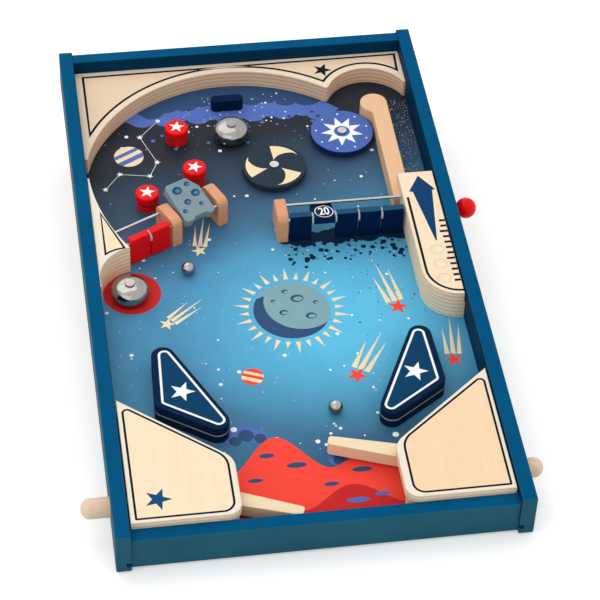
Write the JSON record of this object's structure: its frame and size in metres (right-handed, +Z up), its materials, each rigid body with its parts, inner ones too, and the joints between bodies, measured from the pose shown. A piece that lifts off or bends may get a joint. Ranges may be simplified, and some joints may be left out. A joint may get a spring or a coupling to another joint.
{
  "type": "tabletop pinball game",
  "caption": "Wooden tabletop pinball game with push-rod flippers, sprung ball launcher, hanging targets, bells, bumpers, spinning discs and a printed board.",
  "frame": {"origin": "on the table under the middle of the game", "axes": "+X to the player's right, +Y away from the player, +Z up; the board rises 6 degrees towards +Y"},
  "size_m": [0.3634, 0.5608, 0.0992],
  "materials": {
    "teal_paint": "satin paint over wood",
    "print": "satin printed plywood",
    "birch": "matt lacquered plywood",
    "printed_birch": "matt lacquered plywood with printed lines",
    "beech": "matt lacquered beech",
    "red_paint": "gloss paint over wood",
    "navy_paint": "satin paint over wood",
    "slate_paint": "satin paint over wood",
    "disc_print": "satin printed plywood",
    "sling_print": "satin printed plywood",
    "plated": "bright plating",
    "steel": "plain steel",
    "zinc": "zinc plated",
    "elastic": "matt elastic",
    "pad_rubber": "matt rubber",
    "washer_plastic": "matt plastic"
  },
  "bodies": {
    "case": {"left_side_rail": "teal_paint", "right_side_rail": "teal_paint", "front_rail": "teal_paint", "back_rail": "teal_paint", "playfield_board": "print", "back_deck": "printed_birch", "left_side_deck": "printed_birch", "lane_divider": "birch", "start_body": "birch", "start_cover": "printed_birch", "left_flipper_deck": "printed_birch", "right_flipper_deck": "printed_birch", "left_deck_base": "birch", "right_deck_base": "birch", "left_slingshot": "sling_print", "right_slingshot": "sling_print", "left_slingshot_band": "elastic", "right_slingshot_band": "elastic", "bumper_1": "red_paint", "bumper_2": "red_paint", "bumper_3": "red_paint", "bumper_rings": "elastic", "upper_bell": "plated", "lower_bell": "plated", "bell_screws": "steel", "spinner_pins": "steel", "back_stop_block": "navy_paint", "navy_row_post": "beech", "red_row_post": "beech", "gate_post": "beech", "navy_row_rods": "steel", "red_row_rods": "steel", "target_washers": "washer_plastic", "flipper_pivot_pins": "steel", "launcher_spring": "steel", "left_rear_leg": "birch", "right_rear_leg": "birch", "rubber_pads": "pad_rubber", "fixing_screws": "zinc"},
    "left_flipper": {"left_flipper": "beech", "left_crank_pin": "steel"},
    "right_flipper": {"right_flipper": "beech", "right_crank_pin": "steel"},
    "left_push_rod": {"left_push_rod": "beech"},
    "right_push_rod": {"right_push_rod": "beech"},
    "launcher": {"launcher_striker": "beech", "launcher_stem": "beech", "launcher_knob": "red_paint"},
    "left_disc": {"left_spinner_disc": "disc_print"},
    "right_disc": {"right_spinner_disc": "disc_print"},
    "navy_target_1": {"navy_target_1": "navy_paint"},
    "navy_target_2": {"navy_target_2": "navy_paint"},
    "navy_target_3": {"navy_target_3": "navy_paint"},
    "navy_target_4": {"navy_target_4": "navy_paint"},
    "navy_target_5": {"navy_target_5": "navy_paint"},
    "red_target_1": {"red_target_1": "red_paint"},
    "red_target_2": {"red_target_2": "red_paint"},
    "swing_target": {"swing_target": "slate_paint"},
    "ball_1": {"ball_1": "steel"},
    "ball_2": {"ball_2": "steel"}
  },
  "joints": [
    {"name": "left_flipper_swing", "type": "hinge", "parent": "case", "child": "left_flipper", "pos_m": [-0.11026, -0.22099, 0.02894], "axis": [0, -0.1045, 0.9945], "range_deg": [0, 38.8]},
    {"name": "right_flipper_swing", "type": "hinge", "parent": "case", "child": "right_flipper", "pos_m": [0.11174, -0.22099, 0.02894], "axis": [0, -0.1045, 0.9945], "range_deg": [0, 38.8]},
    {"name": "left_rod_push", "type": "slide", "parent": "case", "child": "left_push_rod", "axis": [1, 0, 0], "range_m": [0, 0.00698]},
    {"name": "right_rod_push", "type": "slide", "parent": "case", "child": "right_push_rod", "axis": [1, 0, 0], "range_m": [0, 0.00698]},
    {"name": "launcher_pull", "type": "slide", "parent": "case", "child": "launcher", "axis": [0, -0.9945, -0.1045], "range_m": [0, 0.066], "stiffness_N_per_m": 60, "springref_m": -0.01, "deforming": ["launcher_spring"]},
    {"name": "left_disc_spin", "type": "hinge", "parent": "case", "child": "left_disc", "pos_m": [0.01694, 0.13379, 0.05919], "axis": [0, -0.1045, 0.9945], "continuous": true},
    {"name": "right_disc_spin", "type": "hinge", "parent": "case", "child": "right_disc", "pos_m": [0.08274, 0.17108, 0.06311], "axis": [0, -0.1045, 0.9945], "continuous": true},
    {"name": "navy_target_1_swing", "type": "hinge", "parent": "case", "child": "navy_target_1", "pos_m": [0.02766, 0.04772, 0.06774], "axis": [1, 0, 0], "range_deg": [-90, 74.54]},
    {"name": "navy_target_2_swing", "type": "hinge", "parent": "case", "child": "navy_target_2", "pos_m": [0.0474, 0.04772, 0.06774], "axis": [1, 0, 0], "range_deg": [-164.54, 0]},
    {"name": "navy_target_3_swing", "type": "hinge", "parent": "case", "child": "navy_target_3", "pos_m": [0.06714, 0.04772, 0.06774], "axis": [1, 0, 0], "range_deg": [-90, 74.54]},
    {"name": "navy_target_4_swing", "type": "hinge", "parent": "case", "child": "navy_target_4", "pos_m": [0.08688, 0.04772, 0.06774], "axis": [1, 0, 0], "range_deg": [-90, 74.54]},
    {"name": "navy_target_5_swing", "type": "hinge", "parent": "case", "child": "navy_target_5", "pos_m": [0.10662, 0.04772, 0.06774], "axis": [1, 0, 0], "range_deg": [-90, 74.54]},
    {"name": "red_target_1_swing", "type": "hinge", "parent": "case", "child": "red_target_1", "pos_m": [-0.11059, 0.03831, 0.06675], "axis": [0.8988, 0.436, 0.0458], "range_deg": [-90, 74.54]},
    {"name": "red_target_2_swing", "type": "hinge", "parent": "case", "child": "red_target_2", "pos_m": [-0.09285, 0.04692, 0.06766], "axis": [0.8988, 0.436, 0.0458], "range_deg": [-90, 74.54]},
    {"name": "swing_target_lift", "type": "hinge", "parent": "case", "child": "swing_target", "pos_m": [-0.05711, 0.06425, 0.06948], "axis": [0.8988, 0.436, 0.0458], "range_deg": [0, 69.5]},
    {"name": "ball_1_roll", "type": "slide", "parent": "case", "child": "ball_1", "axis": [0, -0.9945, -0.1045], "range_m": [0, 0.075]},
    {"name": "ball_2_roll", "type": "slide", "parent": "case", "child": "ball_2", "axis": [0, 0.9945, 0.1045], "range_m": [-0.03, 0.1]}
  ],
  "couplings": [
    {"joint": "left_rod_push", "follows": "left_flipper_swing", "m_per_rad": 0.010301},
    {"joint": "right_rod_push", "follows": "right_flipper_swing", "m_per_rad": 0.010301}
  ]
}
